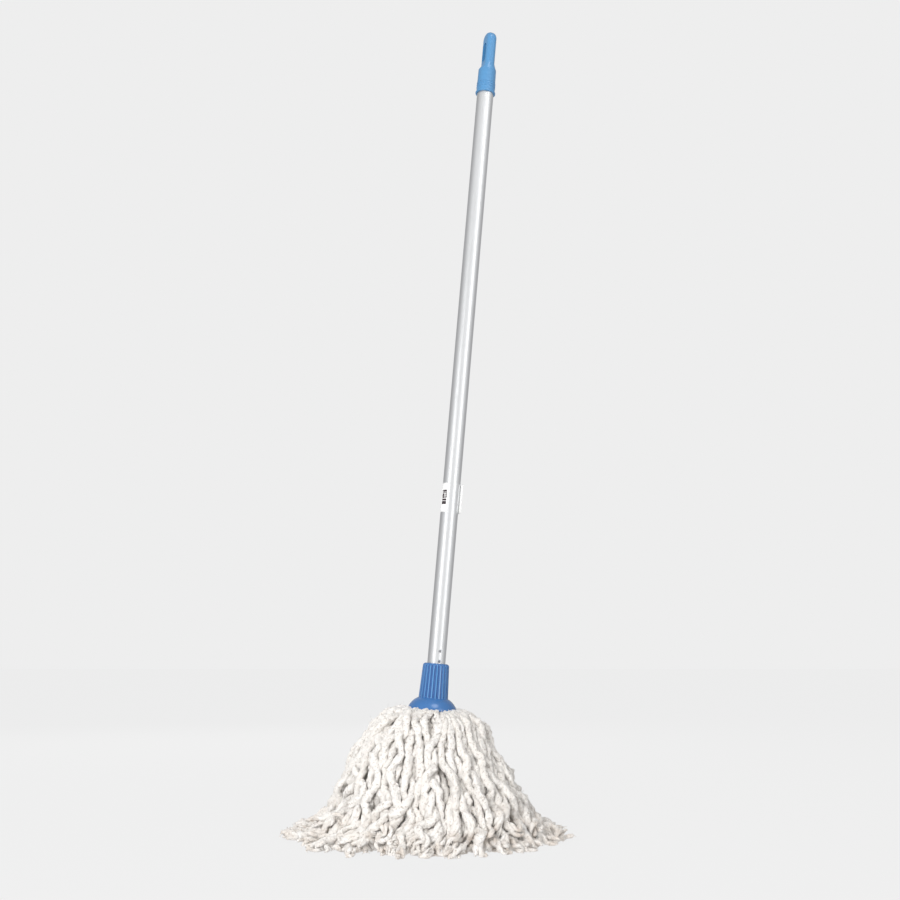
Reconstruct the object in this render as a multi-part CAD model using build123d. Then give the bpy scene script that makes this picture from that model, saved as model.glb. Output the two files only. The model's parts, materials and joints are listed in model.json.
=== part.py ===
from build123d import *
import math
import os

# A round cotton string mop, standing on its spread yarns with the handle leaning.
# Millimetres, +Z up. The origin is the middle of the yarn's footprint on the floor,
# where the handle's axis meets it. Stations are distances along the handle's axis from there.

LEAN = 4.88                     # how far the handle's axis leans towards +X, degrees

# Handle tube: thin drawn aluminium, with two punched dimples that hold the threaded plug.
TUBE_RADIUS = 12.5
TUBE_WALL = 0.9
TUBE_BOTTOM = 216.0
TUBE_TOP = 1124.0
DIMPLE_STATIONS = (237.2, 251.4)
DIMPLE_AZIMUTH = -71.0          # degrees from +X, so it faces front and a little right
DIMPLE_BALL = 3.2               # radius of the punch
DIMPLE_DEPTH = 1.3

# Threaded plug in the tube's lower end.
PLUG_RADIUS = 11.52
PLUG_TOP = 262.0
PLUG_HOLLOW_RADIUS = 7.0
PLUG_HOLLOW_BOTTOM = 222.0
PLUG_COLLAR_RADIUS = 12.3
PLUG_COLLAR_BOTTOM = 213.0
GROOVE_RADIUS = 9.8
GROOVE_HALF_WIDTH = 3.4
THREAD_CORE_RADIUS = 9.3
THREAD_CREST_RADIUS = 10.7
THREAD_PITCH = 5.0
THREAD_BOTTOM = 190.5
THREAD_RIDGE_BASE = 2.6         # height of the ridge where it leaves the core
THREAD_RIDGE_CREST = 1.2

# Hanging cap: a soft plastic sleeve with a flat tongue and an oblong eye.
CAP_RIM = 1089.0
CAP_RADIUS = 14.0               # at the rim
CAP_SHOULDER_RADIUS = 13.4
CAP_BORE = 12.55
CAP_BEAD_RADIUS = 15.1
CAP_BEAD_HEIGHT = 3.0
CAP_SHOULDER_BOTTOM = 1128.0
CAP_SHOULDER_TOP = 1137.0
CAP_TOP = 1190.5
CAP_GRIP_RINGS = (1099.0, 1102.4, 1105.8)
CAP_GRIP_RING_RADIUS = 0.45
TONGUE_WIDTH = 24.6
TONGUE_THICKNESS = 15.5
TONGUE_CORNER = 6.6
EYE_WIDTH = 12.0
EYE_BOTTOM = 1141.5
EYE_TOP = 1172.0
EYE_TURN = 113.0                # turns the eye's axis to the left and a little to the front

# Paper label, wrapped round the back of the tube.
LABEL_BOTTOM = 445.5
LABEL_TOP = 487.1
LABEL_THICKNESS = 0.22
LABEL_START = 5.3               # degrees from +X
LABEL_ARC = 249.0

# Socket: a grooved sleeve on a dome, moulded in one.
SOCKET_TOP = 235.0
SLEEVE_BOTTOM = 188.0
SLEEVE_TOP_RADIUS = 18.1
SLEEVE_BOTTOM_RADIUS = 20.4
SLEEVE_EDGE_ROUND = 4.0
SLEEVE_GROOVES = 24
SLEEVE_GROOVE_RADIUS = 1.5
SLEEVE_GROOVE_DEPTH = 1.5
DOME_RADIUS = 33.8
DOME_BOTTOM = 171.5
DOME_LIP = 2.0
DOME_MIDDLE = (28.8, 181.6)     # a point half way down the dome's arc: radius, station
DOME_INSIDE_RADIUS = 29.0
DOME_CEILING = 178.0
COUNTERBORE_RADIUS = 12.6
COUNTERBORE_BOTTOM = 212.7
THREAD_BORE_RADIUS = 10.8
THREAD_BORE_BOTTOM = 188.0

# What grips the yarn under the dome.
FOLDS_RADIUS = 26.0
FOLDS_BOTTOM = 152.0
FOLDS_TOP = 177.7
PLATE_RADIUS = 25.0
PLATE_BOTTOM = 148.7
PLATE_TOP = 151.7
TOOTH_COUNT = 10
TOOTH_CIRCLE = 19.5
TOOTH_RADIUS = 1.8
TOOTH_HEIGHT = 9.0
TOOTH_CLEARANCE = 0.15
WASHER_RADIUS = 8.0
WASHER_THICKNESS = 1.2
SCREW_RADIUS = 2.5
SCREW_TIP = 186.0
SCREW_HOLE_RADIUS = 2.6
SCREW_HEAD_RADIUS = 4.6
SCREW_HEAD_HEIGHT = 3.0
SCREW_RECESS = (5.0, 1.1, 1.8)  # length, width and depth of each arm of the cross

# Yarn: three layers of locks, each lock a few yarns side by side.
# A layer's line runs from the dome's edge over the shoulder and down to the floor: radius, height.
LOCK_THICKNESS = 10.0
LOCK_GAP = 0.8
NECK_HEIGHT = 138.0             # from here up the yarn leans as much as the handle
YARN_LAYERS = {
    "outer": (16, (
        (27, 165.9), (57, 165.0), (85, 145), (112, 104), (132, 64), (153, 33), (172, 13), (182, 5), (195, 5),
    )),
    "middle": (12, ((27, 155.4), (50, 153.0), (72, 135), (96, 93), (116, 46), (132, 14), (141, 5), (150, 5))),
    "inner": (8, ((27, 144.9), (41, 141.5), (57, 122), (76, 82), (92, 36), (103, 12), (110, 5), (118, 5))),
}

FROM_BELOW = (Align.CENTER, Align.CENTER, Align.MIN)


def rod(radius, low, high):
    """A round bar on the handle's axis, between two stations."""
    return Pos(0, 0, low) * Cylinder(radius, high - low, align=FROM_BELOW)


def around(azimuth, radius, station):
    """The place at a radius and azimuth about the handle's axis."""
    return Rot(0, 0, azimuth) * Pos(radius, 0, station)


def handle_tube():
    """The open tube with its two punched dimples."""
    bore = rod(TUBE_RADIUS - TUBE_WALL, TUBE_BOTTOM - 1, TUBE_TOP + 1)
    tube = rod(TUBE_RADIUS, TUBE_BOTTOM, TUBE_TOP) - bore
    skin = rod(TUBE_RADIUS - 0.3 * TUBE_WALL, TUBE_BOTTOM, TUBE_TOP)
    ball_centre = TUBE_RADIUS - DIMPLE_DEPTH + DIMPLE_BALL
    for station in DIMPLE_STATIONS:
        place = around(DIMPLE_AZIMUTH, ball_centre, station)
        tube += (place * Sphere(DIMPLE_BALL + TUBE_WALL)) & skin
        tube -= place * Sphere(DIMPLE_BALL)
    return tube


def thread_ridge():
    """One right-hand helical ridge round the plug's core."""
    length = PLUG_COLLAR_BOTTOM - THREAD_BOTTOM - THREAD_PITCH
    helix = Helix(pitch=THREAD_PITCH, height=length, radius=THREAD_CORE_RADIUS - 0.2)
    depth = THREAD_CREST_RADIUS - THREAD_CORE_RADIUS + 0.2
    section = Plane(origin=helix @ 0, x_dir=(1, 0, 0), z_dir=helix % 0) * Trapezoid(
        THREAD_RIDGE_BASE, depth, math.degrees(math.atan2(depth, (THREAD_RIDGE_BASE - THREAD_RIDGE_CREST) / 2)),
        rotation=-90, align=(Align.CENTER, Align.MIN),
    )
    ridge = sweep(section, path=helix, is_frenet=True)
    return Pos(0, 0, THREAD_BOTTOM + THREAD_PITCH / 2) * ridge


def threaded_plug():
    """The moulded plug: a grooved shank for the tube, a collar and a coarse thread."""
    plug = rod(PLUG_RADIUS, TUBE_BOTTOM - 0.3, PLUG_TOP)
    for station in DIMPLE_STATIONS:
        low, high = station - GROOVE_HALF_WIDTH, station + GROOVE_HALF_WIDTH
        plug -= rod(PLUG_RADIUS + 1, low, high) - rod(GROOVE_RADIUS, low, high)
    plug += rod(PLUG_COLLAR_RADIUS, PLUG_COLLAR_BOTTOM, TUBE_BOTTOM - 0.3)
    core = rod(THREAD_CORE_RADIUS, THREAD_BOTTOM, PLUG_COLLAR_BOTTOM + 0.5)
    plug += chamfer(core.edges().sort_by(Axis.Z)[0], 1.2)
    plug += thread_ridge()
    return plug - rod(PLUG_HOLLOW_RADIUS, PLUG_HOLLOW_BOTTOM, PLUG_TOP + 1)


def cap_tongue():
    """The flat tongue above the sleeve, rounded over its top, with the oblong eye through it."""
    straight = CAP_TOP - TONGUE_WIDTH / 2
    outline = Pos(0, (CAP_SHOULDER_TOP + straight) / 2) * Rectangle(TONGUE_WIDTH, straight - CAP_SHOULDER_TOP)
    outline += Pos(0, straight) * Circle(TONGUE_WIDTH / 2)
    tongue = extrude(Plane.XZ * outline, TONGUE_THICKNESS / 2, both=True)
    rims = tongue.edges().filter_by(lambda edge: abs(edge.center().Y) > 0.4 * TONGUE_THICKNESS)
    rims = rims.filter_by(lambda edge: edge.center().Z > CAP_SHOULDER_TOP + 1)
    tongue = fillet(rims, TONGUE_CORNER)
    middle = (EYE_BOTTOM + EYE_TOP) / 2
    slot = SlotOverall(EYE_TOP - EYE_BOTTOM, EYE_WIDTH, rotation=90)
    return tongue - extrude(Plane.XZ * Pos(0, middle) * slot, 30, both=True)


def hanging_cap():
    """The sleeve that grips the tube's top, its bead, grip rings, shoulder and tongue."""
    rise = CAP_SHOULDER_BOTTOM - CAP_RIM
    cap = Pos(0, 0, CAP_RIM) * Cone(CAP_RADIUS, CAP_SHOULDER_RADIUS, rise, align=FROM_BELOW)
    bead = rod(CAP_BEAD_RADIUS, CAP_RIM, CAP_RIM + CAP_BEAD_HEIGHT)
    cap += fillet(bead.edges(), 0.95 * (CAP_BEAD_RADIUS - CAP_RADIUS))
    for station in CAP_GRIP_RINGS:
        share = (station - CAP_RIM) / rise
        radius = CAP_RADIUS + share * (CAP_SHOULDER_RADIUS - CAP_RADIUS)
        cap += Pos(0, 0, station) * Torus(radius, CAP_GRIP_RING_RADIUS)
    foot = Pos(0, 0, CAP_SHOULDER_BOTTOM) * Circle(CAP_SHOULDER_RADIUS)
    head = Pos(0, 0, CAP_SHOULDER_TOP) * RectangleRounded(TONGUE_WIDTH, TONGUE_THICKNESS, TONGUE_CORNER)
    cap += loft([foot, head])
    cap += cap_tongue()
    cap -= rod(CAP_BORE, CAP_RIM - 1, TUBE_TOP + 0.5)
    return Rot(0, 0, EYE_TURN) * cap


def handle_label():
    """A paper label that covers the back of the tube and ends on its front."""
    middle = Pos(TUBE_RADIUS + LABEL_THICKNESS / 2, (LABEL_BOTTOM + LABEL_TOP) / 2)
    section = Plane.XZ * middle * Rectangle(LABEL_THICKNESS, LABEL_TOP - LABEL_BOTTOM)
    return Rot(0, 0, LABEL_START) * revolve(section, Axis.Z, LABEL_ARC)


def socket_outside():
    """The socket's smooth outer form: the tapered sleeve on the dome."""
    with BuildPart() as body:
        with BuildSketch(Plane.XZ):
            with BuildLine():
                sleeve = Polyline(
                    (0, DOME_BOTTOM),
                    (0, SOCKET_TOP),
                    (SLEEVE_TOP_RADIUS, SOCKET_TOP),
                    (SLEEVE_BOTTOM_RADIUS, SLEEVE_BOTTOM),
                )
                dome = ThreePointArc(sleeve @ 1, DOME_MIDDLE, (DOME_RADIUS, DOME_BOTTOM + DOME_LIP))
                Polyline(dome @ 1, (DOME_RADIUS, DOME_BOTTOM), (0, DOME_BOTTOM))
            make_face()
        revolve(axis=Axis.Z)
        fillet(body.edges().filter_by(GeomType.CIRCLE).sort_by(Axis.Z)[-1], SLEEVE_EDGE_ROUND)
    return body.part


def sleeve_grooves():
    """The round-bottomed grooves down the sleeve, following its taper."""
    rise = SOCKET_TOP - SLEEVE_BOTTOM
    taper = math.degrees(math.atan2(SLEEVE_BOTTOM_RADIUS - SLEEVE_TOP_RADIUS, rise))
    radius = SLEEVE_BOTTOM_RADIUS - SLEEVE_GROOVE_DEPTH + SLEEVE_GROOVE_RADIUS
    cutter = Pos(radius, 0, SLEEVE_BOTTOM) * Rot(0, -taper, 0) * (
        Pos(0, 0, SLEEVE_GROOVE_RADIUS) * Cylinder(SLEEVE_GROOVE_RADIUS, rise + 4, align=FROM_BELOW)
        + Pos(0, 0, SLEEVE_GROOVE_RADIUS) * Sphere(SLEEVE_GROOVE_RADIUS)
    )
    return [Rot(0, 0, i * 360 / SLEEVE_GROOVES) * cutter for i in range(SLEEVE_GROOVES)]


def mop_socket():
    """The grooved sleeve and dome, bored for the handle above and hollow for the yarn below."""
    socket = socket_outside()
    for cutter in sleeve_grooves():
        socket -= cutter
    socket -= rod(COUNTERBORE_RADIUS, COUNTERBORE_BOTTOM, SOCKET_TOP + 1)
    socket -= rod(THREAD_BORE_RADIUS, THREAD_BORE_BOTTOM, COUNTERBORE_BOTTOM + 1)
    socket -= rod(SCREW_HOLE_RADIUS, DOME_CEILING - 1, THREAD_BORE_BOTTOM + 1)
    return socket - rod(DOME_INSIDE_RADIUS, DOME_BOTTOM - 1, DOME_CEILING)


def teeth(clearance):
    """The clamp plate's ring of pointed teeth, grown by a clearance."""
    cone = Cone(TOOTH_RADIUS + clearance, 0.3 + clearance, TOOTH_HEIGHT + clearance + 0.5, align=FROM_BELOW)
    spots = [around(i * 360 / TOOTH_COUNT, TOOTH_CIRCLE, PLATE_TOP - 0.5) for i in range(TOOTH_COUNT)]
    return [spot * cone for spot in spots]


def yarn_folds():
    """The yarns' folded middles, pressed into the dome round the screw."""
    folds = rod(FOLDS_RADIUS, FOLDS_BOTTOM, FOLDS_TOP)
    folds -= rod(SCREW_RADIUS + 0.3, FOLDS_BOTTOM - 1, FOLDS_TOP + 1)
    for tooth in teeth(TOOTH_CLEARANCE):
        folds -= tooth
    return folds


def clamp_plate():
    """The toothed plate that holds the folds up in the dome."""
    plate = rod(PLATE_RADIUS, PLATE_BOTTOM, PLATE_TOP)
    for tooth in teeth(0):
        plate += tooth
    return plate - rod(SCREW_HOLE_RADIUS, PLATE_BOTTOM - 1, PLATE_TOP + 1)


def clamp_washer():
    """The washer under the screw's head."""
    low = PLATE_BOTTOM - WASHER_THICKNESS
    return rod(WASHER_RADIUS, low, PLATE_BOTTOM) - rod(SCREW_HOLE_RADIUS, low - 1, PLATE_BOTTOM + 1)


def clamp_screw():
    """The pan-head screw that draws the plate up, with a cross recess."""
    seat = PLATE_BOTTOM - WASHER_THICKNESS
    bottom = seat - SCREW_HEAD_HEIGHT
    head = rod(SCREW_HEAD_RADIUS, bottom, seat)
    head = fillet(head.edges().sort_by(Axis.Z)[0], 1.4)
    length, width, depth = SCREW_RECESS
    arm = Pos(0, 0, bottom - 0.1) * Box(length, width, depth, align=FROM_BELOW)
    shank = rod(SCREW_RADIUS, seat, SCREW_TIP)
    return head + chamfer(shank.edges().sort_by(Axis.Z)[-1], 1.2) - arm - Rot(0, 0, 90) * arm


def lean_with_height(point):
    """Moves a point of the upright yarn: upright at the floor, leaning with the handle at its neck."""
    share = min(1.0, point.Z / NECK_HEIGHT) ** 2
    return point.rotate(Axis.Y, LEAN * share)


def lock_section(line, index, half_angle):
    """The four corners of a lock across one point of its layer's line."""
    here = Vector(line[index][0], line[index][1])
    back = Vector(*line[max(index - 1, 0)])
    ahead = Vector(*line[min(index + 1, len(line) - 1)])
    along = (ahead - here).normalized() if index == 0 else (here - back).normalized()
    if 0 < index < len(line) - 1:
        along = (along + (ahead - here).normalized()).normalized()
    up = Vector(-along.Y, along.X) * (LOCK_THICKNESS / 2)
    if index >= len(line) - 2:
        up = Vector(0, LOCK_THICKNESS / 2)
    corners = []
    for side, edge in ((-1, here - up), (1, here - up), (1, here + up), (-1, here + up)):
        half_width = edge.X * math.tan(half_angle) - LOCK_GAP / 2
        corners.append(Vector(edge.X, side * half_width, max(edge.Y, 0)))
    return corners


def flat_faces(a, b, c, d):
    """The four-sided face through four points, or two triangles where they aren't in one plane."""
    if abs((b - a).cross(d - a).normalized().dot(c - a)) < 1e-6:
        return [Face(Wire.make_polygon([a, b, c, d]))]
    return [Face(Wire.make_polygon([a, b, c])), Face(Wire.make_polygon([a, c, d]))]


def closed_band(sections):
    """A closed solid of flat faces through a list of four-cornered sections."""
    faces = flat_faces(*sections[0]) + flat_faces(*sections[-1])
    for near, far in zip(sections, sections[1:]):
        for i in range(4):
            j = (i + 1) % 4
            faces += flat_faces(near[i], near[j], far[j], far[i])
    return Solid(Shell(faces))


def yarn_lock(line, count, index):
    """One lock of a layer: the share of the skirt that one group of yarns fills."""
    turned = []
    for i in range(len(line)):
        corners = [c.rotate(Axis.Z, index * 360 / count) for c in lock_section(line, i, math.pi / count)]
        turned.append([lean_with_height(corner) for corner in corners])
    return closed_band(turned)


def along_handle(part):
    """Leans a part that was built upright on the handle's axis."""
    return Rot(0, LEAN, 0) * part


def build():
    """Every piece by name, in its place."""
    pieces = {
        "handle_tube": along_handle(handle_tube()),
        "threaded_plug": along_handle(threaded_plug()),
        "hanging_cap": along_handle(hanging_cap()),
        "handle_label": along_handle(handle_label()),
        "mop_socket": along_handle(mop_socket()),
        "yarn_folds": along_handle(yarn_folds()),
        "clamp_plate": along_handle(clamp_plate()),
        "clamp_washer": along_handle(clamp_washer()),
        "clamp_screw": along_handle(clamp_screw()),
    }
    for layer, (count, line) in YARN_LAYERS.items():
        for index in range(count):
            pieces[f"yarn_{layer}_lock_{index + 1:02d}"] = yarn_lock(line, count, index)
    return pieces


os.makedirs("parts", exist_ok=True)
for name, piece in build().items():
    export_step(piece, f"parts/{name}.step")
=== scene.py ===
"""A round cotton string mop that stands on its spread yarns: materials, yarn, light and camera."""

import json
import logging
import math
from dataclasses import dataclass, field
from enum import Enum
from typing import Any, Iterable, Sequence, Union

import bpy
import numpy as np
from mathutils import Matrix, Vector
from mathutils.kdtree import KDTree


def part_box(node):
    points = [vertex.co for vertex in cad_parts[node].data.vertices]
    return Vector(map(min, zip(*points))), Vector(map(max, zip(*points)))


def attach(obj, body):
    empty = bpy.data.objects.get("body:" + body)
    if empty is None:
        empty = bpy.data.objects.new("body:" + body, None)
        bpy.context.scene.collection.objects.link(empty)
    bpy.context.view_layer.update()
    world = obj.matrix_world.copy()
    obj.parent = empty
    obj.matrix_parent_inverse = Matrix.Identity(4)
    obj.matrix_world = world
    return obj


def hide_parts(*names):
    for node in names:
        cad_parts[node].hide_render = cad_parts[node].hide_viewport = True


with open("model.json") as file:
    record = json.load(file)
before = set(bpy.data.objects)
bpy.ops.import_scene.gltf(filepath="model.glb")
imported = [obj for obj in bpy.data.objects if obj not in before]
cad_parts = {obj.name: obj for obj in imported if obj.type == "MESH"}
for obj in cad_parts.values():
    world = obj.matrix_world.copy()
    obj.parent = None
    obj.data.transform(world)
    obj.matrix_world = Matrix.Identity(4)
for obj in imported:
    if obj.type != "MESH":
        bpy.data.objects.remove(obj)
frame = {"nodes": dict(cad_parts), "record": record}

log = logging.getLogger("mop")

Number = Union[int, float]
Colour = tuple[float, float, float]
SEED = 41
TINY = 1e-9                      # keeps a division by a length of nothing from failing
PER_METRE = 1000                 # millimetres


# ------------------------------------------------------------------ shader writing


class Signal:
    """A shader value or colour that Python arithmetic can be written on."""

    def __init__(self, sheet: "Sheet", socket: bpy.types.NodeSocket) -> None:
        """Wraps one output socket.

        Args:
            sheet: The material being written.
            socket: The output that holds the value.
        """
        self.sheet = sheet
        self.socket = socket

    def _maths(self, operation: str, *others: Union["Signal", Number]) -> "Signal":
        """A Math node's value, with this signal where None would stand."""
        values = {i: (self if other is None else other) for i, other in enumerate(others)}
        return self.sheet.node("ShaderNodeMath", {"operation": operation}, values)

    def __add__(self, other: Union["Signal", Number]) -> "Signal":
        """self + other."""
        return self._maths("ADD", None, other)

    __radd__ = __add__

    def __mul__(self, other: Union["Signal", Number]) -> "Signal":
        """self * other."""
        return self._maths("MULTIPLY", None, other)

    __rmul__ = __mul__

    def __sub__(self, other: Union["Signal", Number]) -> "Signal":
        """self - other."""
        return self._maths("SUBTRACT", None, other)

    def __rsub__(self, other: Union["Signal", Number]) -> "Signal":
        """other - self."""
        return self._maths("SUBTRACT", other, None)

    def __pow__(self, other: Number) -> "Signal":
        """self to the power of other."""
        return self._maths("POWER", None, other)

    def between(self, low: float, high: float) -> "Signal":
        """0 at low and under, 1 at high and over, smooth between.

        Args:
            low: The value that gives 0.
            high: The value that gives 1.

        Returns:
            The smoothed share.
        """
        settings = {"interpolation_type": "SMOOTHSTEP"}
        inputs = {"Value": self, "From Min": low, "From Max": high}
        return self.sheet.node("ShaderNodeMapRange", settings, inputs)


class Sheet:
    """One material being written, node by node."""

    def __init__(self, name: str) -> None:
        """Starts a material with its Principled shader.

        Args:
            name: The finish's name.
        """
        self.material = bpy.data.materials.new(name)
        self.material.use_nodes = True
        self.tree = self.material.node_tree
        self.shader = self.tree.nodes["Principled BSDF"]

    def raw(self, kind: str, settings: dict[str, Any], inputs: dict[Any, Any]) -> bpy.types.Node:
        """Adds a node, sets it up, then fills its sockets.

        Args:
            kind: The node's type name.
            settings: Properties of the node, set first.
            inputs: Values or signals by socket name or number.

        Returns:
            The new node.
        """
        node = self.tree.nodes.new(kind)
        for key, value in settings.items():
            setattr(node, key, value)
        for key, value in inputs.items():
            self.fill(node.inputs[key], value)
        return node

    def node(self, kind: str, settings: dict[str, Any], inputs: dict[Any, Any], output: Any = 0) -> Signal:
        """Adds a node and gives one of its outputs as a signal."""
        return Signal(self, self.raw(kind, settings, inputs).outputs[output])

    def fill(self, socket: bpy.types.NodeSocket, value: Any) -> None:
        """Links a signal to a socket, or sets the socket's own value."""
        if isinstance(value, Signal):
            self.tree.links.new(value.socket, socket)
        elif isinstance(value, tuple) and socket.type == "RGBA":
            socket.default_value = (*value, 1.0)
        else:
            socket.default_value = value

    def place(self, turn: Sequence[float] = (0, 0, 0), scale: Sequence[float] = (1, 1, 1)) -> Signal:
        """The place on the piece in metres, turned and then scaled."""
        where = self.node("ShaderNodeTexCoord", {}, {}, "Object")
        settings = {"rotation_type": "EULER_XYZ"}
        where = self.node("ShaderNodeVectorRotate", settings, {"Vector": where, "Rotation": turn})
        return self.node("ShaderNodeVectorMath", {"operation": "MULTIPLY"}, {0: where, 1: scale})

    def noise(self, where: Signal, scale: float, detail: float = 3.0, rough: float = 0.55) -> Signal:
        """Smooth noise from 0 to 1 at a scale, over a place."""
        inputs = {"Vector": where, "Scale": scale, "Detail": detail, "Roughness": rough}
        return self.node("ShaderNodeTexNoise", {}, inputs)

    def blend(self, share: Union[Signal, Number], low: Any, high: Any) -> Signal:
        """The colour low where share is 0, and high where it is 1."""
        inputs = {"Factor": share, 6: low, 7: high}
        return self.node("ShaderNodeMix", {"data_type": "RGBA"}, inputs, 2)

    def bump(self, height: Signal, distance: float, strength: float = 1.0) -> None:
        """Feeds a height to the shader's Normal.

        Args:
            height: The relief from 0 to 1.
            distance: How high 1 stands, in metres.
            strength: How much of the relief shows.
        """
        inputs = {"Height": height, "Distance": distance, "Strength": strength}
        self.feed(Normal=self.node("ShaderNodeBump", {}, inputs))

    def feed(self, **inputs: Any) -> None:
        """Sets or links the shader's sockets, with spaces in their names written as underscores."""
        for name, value in inputs.items():
            self.fill(self.shader.inputs[name.replace("_", " ")], value)


# ------------------------------------------------------------------ finishes


@dataclass(frozen=True)
class DrawnAluminium:
    """Satin aluminium tube with faint drawing lines along it, and painted shade darkening the hollows of its
    dimples, pressed in by a punch.
    """

    lean: float
    colour: Colour = (0.79, 0.80, 0.81)
    dull: Colour = (0.71, 0.72, 0.73)
    roughness: float = 0.36
    line_scale: float = 900
    line_stretch: float = 0.012
    cloud_scale: float = 45
    cloud_stretch: float = 0.2
    scuff_scale: float = 160
    relief: float = 0.00002
    # Painted shade in each dimple's hollow.
    painted_dimple_shade: Colour = (0.20, 0.20, 0.21)
    dimple_inside: float = 0.0009    # from here out the painted dimple shade fades, metres from a dimple's middle
    dimple_edge: float = 0.0021
    # Each dimple's middle on the upright tube, metres.
    dimples: tuple[tuple[float, float, float], ...] = ((0.0041, -0.0113, 0.2514), (0.0041, -0.0113, 0.2372))

    def write(self) -> bpy.types.Material:
        """Writes the material."""
        sheet = Sheet("drawn_aluminium")
        upright = (0, -self.lean, 0)
        lines = sheet.noise(sheet.place(upright, (1, 1, self.line_stretch)), self.line_scale, 2)
        cloud = sheet.noise(sheet.place(upright, (1, 1, self.cloud_stretch)), self.cloud_scale, 3)
        scuffs = sheet.noise(sheet.place(), self.scuff_scale, 4, 0.7).between(0.62, 0.75)
        metal = sheet.blend(lines * 0.5 + cloud * 0.5, self.dull, self.colour)
        where = sheet.place(upright)
        # Paints shade into each dimple, darkest at its middle.
        for middle in self.dimples:
            settings, inputs = {"operation": "DISTANCE"}, {0: where, 1: middle}
            away = sheet.node("ShaderNodeVectorMath", settings, inputs, "Value")
            metal = sheet.blend(away.between(self.dimple_inside, self.dimple_edge), self.painted_dimple_shade, metal)
        sheet.feed(
            Base_Color=metal,
            Metallic=1.0,
            Roughness=self.roughness + lines * 0.06 + cloud * 0.06 + scuffs * 0.08,
        )
        sheet.bump(lines, self.relief, 0.5)
        return sheet.material


@dataclass(frozen=True)
class MouldedPlastic:
    """Moulded plastic with a slight mottle, fine grain and rougher high spots worn by rubs."""

    name: str
    colour: Colour
    shade: Colour
    roughness: float
    coat: float
    shine: float = 0.5
    relief: float = 0.00003
    mottle_scale: float = 55
    grain_scale: float = 2600
    rub_scale: float = 210
    coat_roughness: float = 0.16

    def write(self) -> bpy.types.Material:
        """Writes the material."""
        sheet = Sheet(self.name)
        where = sheet.place()
        mottle = sheet.noise(where, self.mottle_scale, 4, 0.6)
        grain = sheet.noise(where, self.grain_scale, 2)
        rubs = sheet.noise(where, self.rub_scale, 5, 0.7).between(0.56, 0.72)
        sheet.feed(
            Base_Color=self.tint(sheet, mottle),
            Roughness=self.roughness + rubs * 0.08 + mottle * 0.06,
            Coat_Weight=self.coat,
            Coat_Roughness=self.coat_roughness,
            Specular_IOR_Level=self.shine,
        )
        sheet.bump(grain * 0.6 + mottle * 0.4, self.relief, 0.6)
        return sheet.material

    def tint(self, sheet: Sheet, mottle: Signal) -> Signal:
        """The plastic's mottled colour."""
        return sheet.blend(mottle, self.shade, self.colour)


@dataclass(frozen=True)
class FlutedPlastic(MouldedPlastic):
    """Moulded plastic with flutes round the handle's axis, with painted highlight making the ridges between
    them paler and painted shade making them darker inside.
    """

    lean: float = 0.0
    flutes: int = 24
    low: float = 0.189           # where the flutes start and end along the axis, metres
    high: float = 0.231
    low_fade: float = 0.002
    high_fade: float = 0.003
    # Painted highlight for the ridges between the flutes, and painted shade for inside them.
    painted_rib_highlight: Colour = (0.090, 0.262, 0.51)
    dull: Colour = (0.009, 0.066, 0.235)

    def tint(self, sheet: Sheet, mottle: Signal) -> Signal:
        """The mottled colour, with painted highlight on the ridges and painted shade in the flutes."""
        upright = sheet.place(turn=(0, -self.lean, 0))
        x, y, z = (sheet.node("ShaderNodeSeparateXYZ", {}, {0: upright}, axis) for axis in range(3))
        turn = sheet.node("ShaderNodeMath", {"operation": "ARCTAN2"}, {0: y, 1: x})
        wave = sheet.node("ShaderNodeMath", {"operation": "COSINE"}, {0: turn * self.flutes})
        sleeve = z.between(self.low - self.low_fade, self.low)
        sleeve = sleeve * (1 - z.between(self.high, self.high + self.high_fade))
        # Painted highlight on the ridges, painted shade down in the flutes.
        rib_highlight_mask = (1 - wave).between(1.3, 1.9) * sleeve * 0.7
        flute_shade_mask = wave.between(-0.2, 0.7) * sleeve * 0.8
        return sheet.blend(flute_shade_mask, sheet.blend(rib_highlight_mask, super().tint(sheet, mottle), self.painted_rib_highlight), self.dull)


@dataclass(frozen=True)
class LabelPaper:
    """Coated label paper, or the ink of the plain blocks printed on it."""

    name: str
    colour: Colour
    shade: Colour
    roughness: float = 0.42
    fibre_scale: float = 1400
    cloud_scale: float = 90
    relief: float = 0.00002

    def write(self) -> bpy.types.Material:
        """Writes the material."""
        sheet = Sheet(self.name)
        where = sheet.place()
        fibre = sheet.noise(where, self.fibre_scale, 4, 0.7)
        cloud = sheet.noise(where, self.cloud_scale, 2)
        colour = sheet.blend(cloud, self.shade, self.colour)
        sheet.feed(Base_Color=colour, Roughness=self.roughness + fibre * 0.12)
        sheet.bump(fibre, self.relief, 0.4)
        return sheet.material


@dataclass(frozen=True)
class PlatedSteel:
    """Zinc-plated steel for the screw and its washer."""

    colour: Colour = (0.66, 0.66, 0.63)
    shade: Colour = (0.48, 0.48, 0.47)
    roughness: float = 0.28
    cloud_scale: float = 700

    def write(self) -> bpy.types.Material:
        """Writes the material."""
        sheet = Sheet("plated_steel")
        cloud = sheet.noise(sheet.place(), self.cloud_scale, 4, 0.6)
        colour = sheet.blend(cloud, self.shade, self.colour)
        sheet.feed(Base_Color=colour, Metallic=1.0, Roughness=self.roughness + cloud * 0.2)
        return sheet.material


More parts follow.
